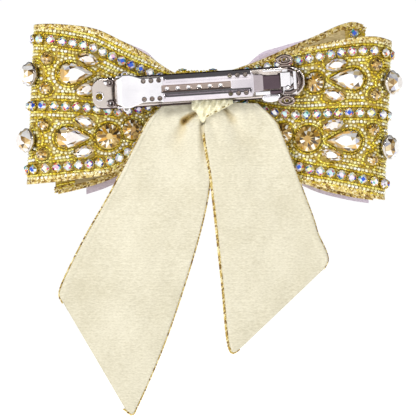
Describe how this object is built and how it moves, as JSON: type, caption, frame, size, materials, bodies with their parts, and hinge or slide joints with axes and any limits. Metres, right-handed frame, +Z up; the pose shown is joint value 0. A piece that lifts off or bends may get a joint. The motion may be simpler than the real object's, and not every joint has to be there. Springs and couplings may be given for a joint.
{
  "type": "rhinestone bow hair clip",
  "caption": "Large beaded bow hair clip on a French barrette, with crystal-set loops, a fabric knot and satin tails.",
  "frame": {"origin": "middle of the barrette, where the hair is gripped between tension bar and arm", "axes": "+X along the bow, +Z up, -Y out of the hair side towards the head, +Y towards the viewer of the worn bow"},
  "size_m": [0.1447, 0.0285, 0.1486],
  "materials": {
    "nickel": "bright nickel plate on pressed steel",
    "beaded_cloth": "cloth covered in gold glass seed beads",
    "gold_seed_bead": "gold-lined glass seed beads",
    "clear_seed_bead": "silver-lined clear glass seed beads",
    "gold_braid": "twisted metallic gold braid",
    "stiffener": "pale lilac stiffening felt",
    "lining_satin": "beige satin",
    "ribbon_satin": "cream-gold slub satin ribbon",
    "knot_satin": "cream-gold satin, gathered",
    "champagne_crystal": "foil-backed champagne cut crystal",
    "aurora_crystal": "aurora-coated clear chaton",
    "gold_cup": "gold-plated stone cups and claws"
  },
  "bodies": {
    "root": {"base_plate": "nickel", "hinge_pin": "nickel", "hinge_rivet_upper": "nickel", "hinge_rivet_lower": "nickel", "clasp_bridge": "nickel", "clasp_rivet": "nickel", "left_back_band": "beaded_cloth", "left_return_band": "beaded_cloth", "left_front_wing": "beaded_cloth", "left_stiffener": "stiffener", "left_lining": "lining_satin", "left_top_chain": "aurora_crystal", "left_middle_chain": "aurora_crystal", "left_bottom_chain": "aurora_crystal", "right_back_band": "beaded_cloth", "right_return_band": "beaded_cloth", "right_front_wing": "beaded_cloth", "right_stiffener": "stiffener", "right_lining": "lining_satin", "right_top_chain": "aurora_crystal", "right_middle_chain": "aurora_crystal", "right_bottom_chain": "aurora_crystal", "end_round_left_upper": "champagne_crystal", "pear_left_upper": "champagne_crystal", "small_round_high_left_upper": "champagne_crystal", "small_round_low_left_upper": "champagne_crystal", "marquise_high_left_upper": "champagne_crystal", "marquise_low_left_upper": "champagne_crystal", "end_round_left_lower": "champagne_crystal", "pear_left_lower": "champagne_crystal", "small_round_high_left_lower": "champagne_crystal", "small_round_low_left_lower": "champagne_crystal", "marquise_high_left_lower": "champagne_crystal", "marquise_low_left_lower": "champagne_crystal", "end_round_right_upper": "champagne_crystal", "pear_right_upper": "champagne_crystal", "small_round_high_right_upper": "champagne_crystal", "small_round_low_right_upper": "champagne_crystal", "marquise_high_right_upper": "champagne_crystal", "marquise_low_right_upper": "champagne_crystal", "end_round_right_lower": "champagne_crystal", "pear_right_lower": "champagne_crystal", "small_round_high_right_lower": "champagne_crystal", "small_round_low_right_lower": "champagne_crystal", "marquise_high_right_lower": "champagne_crystal", "marquise_low_right_lower": "champagne_crystal", "large_round_1_left_lower": "champagne_crystal", "large_round_2_left_lower": "champagne_crystal", "large_round_1_right_upper": "champagne_crystal", "large_round_1_right_lower": "champagne_crystal", "large_round_2_right_lower": "champagne_crystal", "knot_wrap": "knot_satin", "knot_band": "beaded_cloth", "tail_left": "ribbon_satin", "tail_right": "ribbon_satin"},
    "arm": {"top_arm": "nickel"},
    "tension": {"tension_bar": "nickel"},
    "wing_upper": {"clasp_wing_upper": "nickel"},
    "wing_lower": {"clasp_wing_lower": "nickel"}
  },
  "joints": [
    {"name": "arm_hinge", "type": "hinge", "parent": "root", "child": "arm", "pos_m": [-0.02844, 0.0006, -0.00189], "axis": [0.0663, 0, -0.9978], "range_deg": [0, 95]},
    {"name": "tension_flex", "type": "hinge", "parent": "root", "child": "tension", "pos_m": [-0.02844, 0.0006, -0.00189], "axis": [0.0663, 0, -0.9978], "range_deg": [0, 8]},
    {"name": "wing_upper_pinch", "type": "hinge", "parent": "root", "child": "wing_upper", "pos_m": [0.03241, 0.003, 0.00842], "axis": [0.9978, 0, 0.0663], "range_deg": [0, 8], "stiffness_Nm_per_rad": 0.05},
    {"name": "wing_lower_pinch", "type": "hinge", "parent": "root", "child": "wing_lower", "pos_m": [0.03324, 0.003, -0.00406], "axis": [-0.9978, 0, -0.0663], "range_deg": [0, 8], "stiffness_Nm_per_rad": 0.05}
  ],
  "couplings": [
    {"joint": "tension_flex", "follows": "arm_hinge", "ratio": 0.08}
  ]
}
